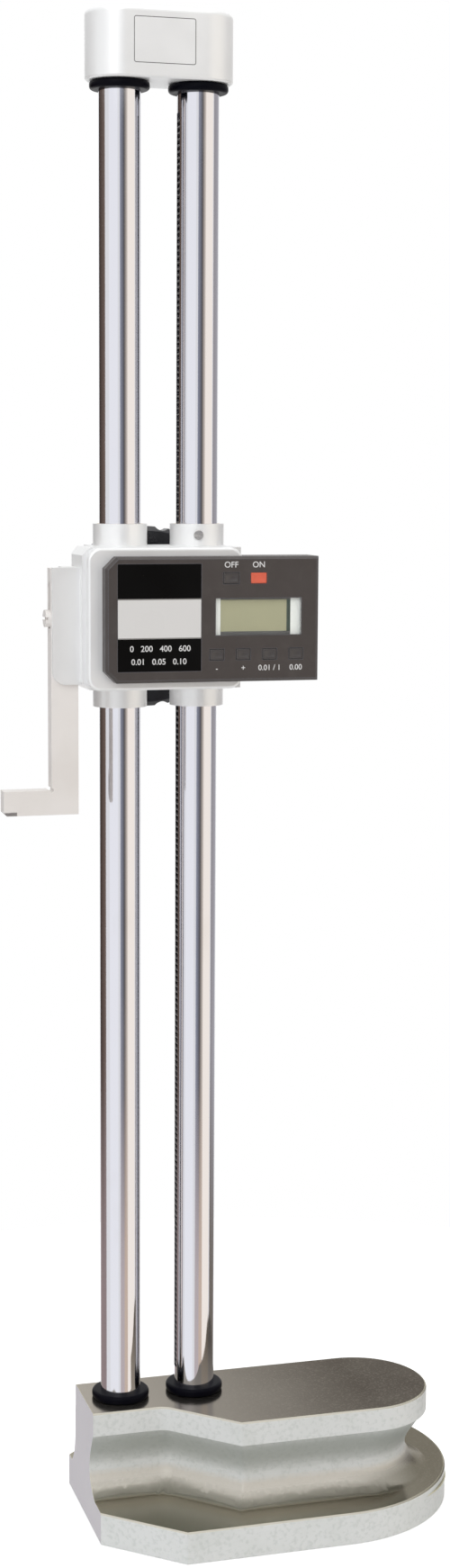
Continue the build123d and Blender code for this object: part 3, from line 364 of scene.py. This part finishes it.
def display_carrier():
    """White moulding at the cell's two sides, in shade above and below it."""
    s = Shader("carrier", (0.97, 0.97, 0.97), 0.0, 0.35)
    x = s.height()["X"]
    beside = s.math("MAXIMUM", s.math("LESS_THAN", x, CELL_LEFT), s.math("GREATER_THAN", x, CELL_RIGHT))
    s.vary_color(s.math("SUBTRACT", 1.0, beside), (0.17, 0.165, 0.17))
    s.bump(s.noise(500, 2), 0.00003, 0.2)
    s.vary_roughness(s.noise(70, 3), 0.06)
    return s.material


def glass():
    """Clear window, nearly free of refraction so that the cell behind keeps its place."""
    s = Shader("glass", (0.95, 0.97, 0.95), 0.0, 0.04)
    s.bsdf.inputs["Transmission Weight"].default_value = 1.0
    s.bsdf.inputs["IOR"].default_value = 1.05
    s.vary_roughness(s.noise(50, 3), 0.02)
    return s.material


def label_print(middle):
    """Printed label: black, light grey and black bands on a thin plate."""
    s = Shader("label", (0.002, 0.002, 0.002), 0.0, 0.3)
    s.bsdf.inputs["Specular IOR Level"].default_value = 0.12
    z = s.height()["Z"]
    low, high = middle - LABEL_BAND_DOWN, middle + LABEL_BAND_UP
    inside = s.math("MULTIPLY", s.math("GREATER_THAN", z, low), s.math("LESS_THAN", z, high))
    s.vary_color(inside, (0.78, 0.77, 0.76))
    for line in (low, high):
        away = s.math("ABSOLUTE", s.math("SUBTRACT", z, line))
        near = s.math("LESS_THAN", away, LABEL_LINE_HALF)
        s.vary_color(near, (0.30, 0.29, 0.28))
    s.bump(s.noise(500, 2), 0.00002, 0.1)
    s.vary_roughness(s.noise(40, 3), 0.05)
    return s.material


def all_materials(middle):
    """Every finish by name: those of the record's slots, and the display carrier's."""
    return {
        "casting": base_paint(),
        "chrome_column": chrome_column(),
        "rack_steel": ground_steel("rack_steel", (0.13, 0.125, 0.125), 0.38, (0.05, 0.05, 0.05)),
        "rubber": rubber(),
        "silver_casting": silver_paint(),
        "bronze": ground_steel("bronze", (0.58, 0.43, 0.24), 0.3, (0.35, 0.22, 0.1)),
        "black_plastic": plastic("black_plastic", (0.012, 0.012, 0.016), 0.3, edge=(0.03, 0.03, 0.035)),
        # the panel's bluish rim is partly rubbed wear, partly painted highlight
        "panel": plastic("panel", (0.056, 0.046, 0.043), 0.44,
                         edge=(0.082, 0.070, 0.064), rim=(0.15, 0.16, 0.19)),
        "label": label_print(middle),
        "glass": glass(),
        "lcd": display_cell(),
        "carrier": display_carrier(),
        "white_plastic": plastic("white_plastic", (0.80, 0.80, 0.80), 0.4, edge=(0.72, 0.72, 0.72)),
        "board": plastic("board", (0.03, 0.16, 0.07), 0.3, edge=(0.05, 0.2, 0.1)),
        "key_black": plastic("key_black", (0.058, 0.051, 0.050), 0.42, edge=(0.08, 0.072, 0.07)),
        "key_red": plastic("key_red", (0.80, 0.14, 0.075), 0.42, edge=(0.88, 0.24, 0.15)),
        "screw_steel": ground_steel("screw_steel", (0.52, 0.50, 0.48), 0.3),
        "black_oxide": ground_steel("black_oxide", (0.035, 0.035, 0.038), 0.36, (0.1, 0.1, 0.1)),
        "scriber_steel": ground_steel("scriber_steel", (0.87, 0.84, 0.815), 0.5, (0.73, 0.69, 0.65), 0.2),
        "carbide": ground_steel("carbide", (0.76, 0.745, 0.73), 0.25),
        "battery_steel": ground_steel("battery_steel", (0.7, 0.7, 0.7), 0.2),
    }


# ---------------------------------------------------------------- studio
def backdrop_share(tree):
    """1 for the rays that see the background: the camera's, and those off metal and through glass."""
    path = tree.nodes.new("ShaderNodeLightPath")
    share = path.outputs["Is Camera Ray"]
    for name in ("Is Glossy Ray", "Is Transmission Ray"):
        either = tree.nodes.new("ShaderNodeMath")
        either.operation = "MAXIMUM"
        tree.links.new(share, either.inputs[0])
        tree.links.new(path.outputs[name], either.inputs[1])
        share = either.outputs[0]
    return share


def make_world():
    """White background, and a softer level of the same white as fill light."""
    world = bpy.data.worlds.new("studio")
    bpy.context.scene.world = world
    world.use_nodes = True
    tree = world.node_tree
    back = tree.nodes["Background"]
    level = tree.nodes.new("ShaderNodeMapRange")
    tree.links.new(backdrop_share(tree), level.inputs["Value"])
    level.inputs["To Min"].default_value = FILL_LEVEL
    level.inputs["To Max"].default_value = 1.0
    tree.links.new(level.outputs["Result"], back.inputs["Strength"])
    back.inputs["Color"].default_value = (1, 1, 1, 1)


def make_lamp(name, place, target, size, power, tall=None, color=(1, 1, 1)):
    """Soft area light that the camera doesn't see: square, or as tall as given."""
    data = bpy.data.lights.new(name, "AREA")
    data.size = size
    if tall is not None:
        data.shape = "RECTANGLE"
        data.size_y = tall
    data.energy = power
    data.color = color
    lamp = bpy.data.objects.new(name, data)
    lamp.location = place
    lamp.visible_camera = False
    lamp.rotation_euler = (Vector(target) - Vector(place)).to_track_quat("-Z", "Y").to_euler()
    bpy.context.scene.collection.objects.link(lamp)


def make_strip(name, start, end, color, radiance):
    """Weak upright soft light, its power worked out from the radiance that it should show.

    It spans two angles, counted round from the camera's side of the object towards +X.
    """
    middle = math.radians((start + end) / 2 - CAMERA_AZIMUTH)
    width = 2 * STRIP_DISTANCE * math.tan(math.radians((end - start) / 2))
    height = STRIP_TOP - STRIP_BOTTOM
    level = (STRIP_TOP + STRIP_BOTTOM) / 2
    place = (math.sin(middle) * STRIP_DISTANCE, -math.cos(middle) * STRIP_DISTANCE, level)
    power = radiance * math.pi * width * height
    make_lamp(name, place, (0, 0, level), width, power, height, color)


def make_floor():
    """White floor that keeps the object's soft shadow."""
    mesh = bpy.data.meshes.new("floor")
    maker = bmesh.new()
    bmesh.ops.create_circle(maker, cap_ends=True, segments=96, radius=FLOOR_RADIUS)
    maker.to_mesh(mesh)
    maker.free()
    floor = bpy.data.objects.new("floor", mesh)
    floor.location = FLOOR_PLACE
    floor.visible_glossy = False
    bpy.context.scene.collection.objects.link(floor)
    s = Shader("floor", (0.94, 0.94, 0.94), 0.0, 0.9)
    s.bsdf.inputs["Specular IOR Level"].default_value = 0.0
    s.vary_color(s.spread(s.noise(3, 2), 0.4, 0.7, 0.0, 0.02), (0.91, 0.91, 0.91))
    s.bsdf.inputs["Emission Color"].default_value = (1, 1, 1, 1)
    s.link(s.spread(backdrop_share(s.tree), 0, 1, 0.0, FLOOR_LIFT), s.bsdf.inputs["Emission Strength"])
    mesh.materials.append(s.material)


def make_panel(name, start, end, first, last, foot):
    """Upright glowing card far out, between two angles counted as in make_strip.

    It shows only in reflections and through glass, so that chrome has something to reflect.
    Its colour runs from the first to the last along it, and fades to the foot colour low down.
    """
    middle = math.radians((start + end) / 2 - CAMERA_AZIMUTH)
    half = PANEL_DISTANCE * math.tan(math.radians((end - start) / 2))
    outward = Vector((math.sin(middle), -math.cos(middle), 0))
    across = Vector((math.cos(middle), math.sin(middle), 0))
    maker = bmesh.new()
    corners = [outward * PANEL_DISTANCE + across * side * half + Vector((0, 0, z))
               for side, z in ((-1, PANEL_BOTTOM), (1, PANEL_BOTTOM), (1, PANEL_TOP), (-1, PANEL_TOP))]
    maker.faces.new([maker.verts.new(corner) for corner in corners])
    mesh = bpy.data.meshes.new(name)
    maker.to_mesh(mesh)
    maker.free()
    panel = bpy.data.objects.new(name, mesh)
    panel.visible_camera = False
    panel.visible_diffuse = False
    panel.visible_shadow = False
    bpy.context.scene.collection.objects.link(panel)
    s = Shader(name, (0, 0, 0), 0.0, 1.0)
    s.bsdf.inputs["Specular IOR Level"].default_value = 0.0
    dot = s.node("ShaderNodeVectorMath", operation="DOT_PRODUCT")
    s.link(s.coords, dot.inputs[0])
    dot.inputs[1].default_value = across
    along = s.spread(dot.outputs["Value"], -half, half)
    low = s.spread(s.height()["Z"], PANEL_FOOT_TOP, PANEL_FOOT_FULL)
    color = s.mix(low, s.mix(along, first + (1,), last + (1,)), foot + (1,))
    s.link(color, s.bsdf.inputs["Emission Color"])
    s.bsdf.inputs["Emission Strength"].default_value = 1.0
    mesh.materials.append(s.material)


def make_studio():
    make_world()
    make_floor()
    make_panel("panel_dark", -148, -84, (0.03, 0.022, 0.02), (0.22, 0.16, 0.13), (0.38, 0.30, 0.29))
    make_panel("panel_navy", 4, 27, (0.38, 0.40, 0.48), (0.11, 0.105, 0.115), (0.66, 0.58, 0.57))
    make_panel("panel_tan", 27, 46, (0.12, 0.105, 0.095), (0.92, 0.82, 0.72), (0.78, 0.62, 0.50))
    make_panel("panel_grey", 98, 150, (0.40, 0.38, 0.39), (0.52, 0.51, 0.54), (0.22, 0.19, 0.16))
    make_lamp("key", (-1.1, -1.9, 2.1), (0, 0, 0.4), 1.6, 22)
    make_lamp("top", (0.1, 0.2, 2.6), (0, 0, 0.2), 1.4, 10)
    make_strip("strip_warm", 46, 92, (1.0, 0.60, 0.10), 0.24)
    make_strip("strip_cool", -58, -8, (0.78, 0.82, 1.0), 0.15)
    bpy.context.scene.view_settings.view_transform = "Standard"


# ---------------------------------------------------------------- mesh helpers
def node_slot(node):
    for part in frame["record"]["subparts"]:
        if part["node"] == node:
            return part["material_slot"]
    raise KeyError(node)


def node_body(node):
    for body, nodes in frame["record"]["behaviour"]["bodies"].items():
        if node in nodes:
            return body
    raise KeyError(node)


def node_material(node):
    """A node's finish: one of its own where it has one, or its slot's."""
    return MATERIALS[OWN_FINISH.get(node, node_slot(node))]


def take_place(piece, node):
    """Let a piece stand for a node: its body and its material."""
    piece.data.materials.clear()
    piece.data.materials.append(node_material(node))
    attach(piece, node_body(node))
    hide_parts(node)


def add_object(name, maker, smooth_angle=35.0):
    mesh = bpy.data.meshes.new(name)
    maker.to_mesh(mesh)
    maker.free()
    piece = bpy.data.objects.new(name, mesh)
    bpy.context.scene.collection.objects.link(piece)
    shade(piece, smooth_angle)
    return piece


def shade(piece, angle):
    piece.data.shade_smooth()
    piece.data.set_sharp_from_angle(angle=math.radians(angle))


def apply_modifiers(piece):
    """Keep the evaluated mesh and drop the modifiers."""
    depsgraph = bpy.context.evaluated_depsgraph_get()
    mesh = bpy.data.meshes.new_from_object(piece.evaluated_get(depsgraph), depsgraph=depsgraph)
    piece.modifiers.clear()
    piece.data = mesh


def soften(node, width, segments=3, limit=28.0):
    """The node's own shape with every hard edge rounded, as a cast, moulded or turned piece."""
    source = frame["nodes"][node]
    maker = bmesh.new()
    maker.from_mesh(source.data)
    bmesh.ops.remove_doubles(maker, verts=maker.verts, dist=WELD_DISTANCE)
    bmesh.ops.dissolve_limit(maker, angle_limit=math.radians(FLAT_TURN), verts=maker.verts,
                             edges=maker.edges)
    piece = add_object(node + ".soft", maker, 180)
    bevel = piece.modifiers.new("round", "BEVEL")
    bevel.width = width
    bevel.segments = segments
    bevel.limit_method = "ANGLE"
    bevel.angle_limit = math.radians(limit)
    bevel.use_clamp_overlap = True
    flatten = piece.modifiers.new("flat_faces", "WEIGHTED_NORMAL")
    flatten.weight = 100
    apply_modifiers(piece)
    take_place(piece, node)
    return piece


def turned(name, profile, centre, segments=96):
    """A closed profile of radius and height, turned round an upright axis."""
    maker = bmesh.new()
    rings = []
    for index in range(segments):
        turn = 2 * math.pi * index / segments
        rings.append([maker.verts.new((centre.x + radius * math.cos(turn),
                                       centre.y + radius * math.sin(turn), centre.z + height))
                      for radius, height in profile])
    for first, second in zip(rings, rings[1:] + rings[:1]):
        for index in range(len(profile)):
            after = (index + 1) % len(profile)
            maker.faces.new((first[index], second[index], second[after], first[after]))
    bmesh.ops.recalc_face_normals(maker, faces=maker.faces)
    return add_object(name, maker, 40)


def rubber_ring(node):
    """Moulded stop ring with rounded rims, close round its column."""
    low, high = (Vector(corner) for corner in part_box(node))
    column_low, column_high = (Vector(corner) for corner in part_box("column_left"))
    inner = (column_high.x - column_low.x) / 2 + RING_GAP
    outer = (high.x - low.x) / 2
    half = (high.z - low.z) / 2
    profile = [(inner, half), (inner, -half)]
    for sign, start in ((-1, -90), (1, 0)):
        for step in range(QUARTER_STEPS + 1):
            turn = math.radians(start + step * 90 / QUARTER_STEPS)
            profile.append((outer - RING_ROUND + RING_ROUND * math.cos(turn),
                            sign * (half - RING_ROUND) + RING_ROUND * math.sin(turn)))
    take_place(turned(node + ".soft", profile, (low + high) / 2), node)


def letters(name, words, x, z, tall, y, slot, body):
    """Plain printed characters on a face towards -Y."""
    curve = bpy.data.curves.new(name, "FONT")
    curve.body = words
    curve.size = tall / CAPITAL_SHARE
    curve.align_x = "CENTER"
    curve.align_y = "CENTER"
    curve.extrude = LETTER_DEPTH
    curve.offset = tall * LETTER_SWELL
    maker = bpy.data.objects.new(name + ".curve", curve)
    bpy.context.scene.collection.objects.link(maker)
    depsgraph = bpy.context.evaluated_depsgraph_get()
    mesh = bpy.data.meshes.new_from_object(maker.evaluated_get(depsgraph), depsgraph=depsgraph)
    bpy.data.objects.remove(maker)
    mesh.transform(Matrix.Translation((x, y, z)) @ Matrix.Rotation(math.pi / 2, 4, "X"))
    piece = bpy.data.objects.new(name, mesh)
    bpy.context.scene.collection.objects.link(piece)
    mesh.materials.clear()
    mesh.materials.append(MATERIALS[slot])
    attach(piece, body)


def outline_frame(name, low, high, y, line, corner, slot, body):
    """A thin printed rectangle with rounded corners on a face towards -Y."""
    def loop(inset):
        points = []
        centres = [(high[0] - corner, high[1] - corner, 0), (low[0] + corner, high[1] - corner, 90),
                   (low[0] + corner, low[1] + corner, 180), (high[0] - corner, low[1] + corner, 270)]
        for x, z, start in centres:
            for step in range(QUARTER_STEPS + 1):
                turn = math.radians(start + step * 90 / QUARTER_STEPS)
                reach = corner - inset
                points.append((x + reach * math.cos(turn), z + reach * math.sin(turn)))
        return points
    maker = bmesh.new()
    rings = [[maker.verts.new((x, y + back, z)) for x, z in loop(inset)]
             for inset, back in ((0, OUTLINE_BACK), (0, 0), (line, 0), (line, OUTLINE_BACK))]
    for first, second in zip(rings, rings[1:] + rings[:1]):
        count = len(first)
        for index in range(count):
            after = (index + 1) % count
            maker.faces.new((first[index], first[after], second[after], second[index]))
    bmesh.ops.recalc_face_normals(maker, faces=maker.faces)
    piece = add_object(name, maker)
    piece.data.materials.append(MATERIALS[slot])
    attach(piece, body)


def dished_key(node):
    """Key cap with a rounded rim and a shallow dish for the finger."""
    piece = soften(node, KEY_ROUND, 2)
    maker = bmesh.new()
    maker.from_mesh(piece.data)
    front = min(maker.faces, key=lambda f: (round(f.calc_center_median().y, 6), -f.calc_area()))
    bmesh.ops.inset_region(maker, faces=[front], thickness=KEY_RIM, depth=0)
    bmesh.ops.inset_region(maker, faces=[front], thickness=KEY_SLOPE, depth=0)
    bmesh.ops.translate(maker, verts=front.verts, vec=(0, KEY_DISH, 0))
    maker.to_mesh(piece.data)
    maker.free()
    shade(piece, 40)


FIRST = {node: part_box(node) for node in frame["nodes"]}
middle_z = (FIRST["carriage_body"][0][2] + FIRST["carriage_body"][1][2]) / 2
MATERIALS = all_materials(middle_z)
make_camera()
make_studio()

# Every node first gets its own finish. The visible ones are then replaced by rounded pieces.
for node, thing in frame["nodes"].items():
    thing.data.materials.clear()
    thing.data.materials.append(node_material(node))

ROUNDING = {
    "top_cap": 0.0008, "carriage_body": 0.0012, "display_bezel": 0.0005,
    "display_housing": 0.0003, "label_plate": 0.00008, "lcd_window": 0.00015, "lcd_frame": 0.0002,
    "housing_cover": 0.0004, "housing_cover_screws": 0.00015, "battery_cover": 0.0002,
    "scriber_holder": 0.0005, "scriber": 0.0003, "scriber_tip": 0.0001, "clamp_screw": 0.0002,
    "holder_screws": 0.0002, "sleeve_screw": 0.00015, "cap_screws": 0.0003, "column_bolts": 0.0003,
    "bearing_housing": 0.0006, "bearing_housing_screws": 0.0002, "handwheel": 0.0006,
    "wheel_nut": 0.0004, "crank_pin": 0.0003, "crank_knob": 0.0005, "lock_knob": 0.0003,
}
for node, width in ROUNDING.items():
    soften(node, width)
soften("base_casting", BASE_ROUND, limit=BASE_LIMIT)
for place in ("lower", "upper"):
    for side in ("left", "right"):
        rubber_ring(place + "_bumper_" + side)
for node in ("key_units", "key_power", "key_minus", "key_plus", "key_mode", "key_zero"):
    dished_key(node)

# Plain lettering: numbers on the label, ON and OFF over the upper keys, signs under the lower ones.
print_y = FIRST["display_housing"][0][1] - PRINT_LIFT
for name, words, x, drop in (("label_range", "0   200   400   600", RANGE_X, RANGE_DOWN),
                             ("label_step", "0.01   0.05   0.10", STEP_X, STEP_DOWN)):
    letters(name, words, x, middle_z - drop, CAPTION_TALL, print_y, "white_plastic", "carriage")
for node, words, height, tall in (("key_units", "OFF", CAPTION_UP, CAPTION_TALL),
                                  ("key_power", "ON", CAPTION_UP, CAPTION_TALL),
                                  ("key_minus", "-", -SIGN_DOWN, SIGN_TALL),
                                  ("key_plus", "+", -SIGN_DOWN, SIGN_TALL),
                                  ("key_mode", "0.01 / 1", -SIGN_DOWN, SIGN_TALL),
                                  ("key_zero", "0.00", -SIGN_DOWN, SIGN_TALL)):
    low, high = FIRST[node]
    letters(node + "_caption", words, (low[0] + high[0]) / 2, middle_z + height, tall, print_y,
            "white_plastic", "carriage")
outline_frame("cap_outline", OUTLINE_LOW, OUTLINE_HIGH, FIRST["top_cap"][0][1] - OUTLINE_LIFT,
              OUTLINE_LINE, OUTLINE_CORNER, "rack_steel", "stand")
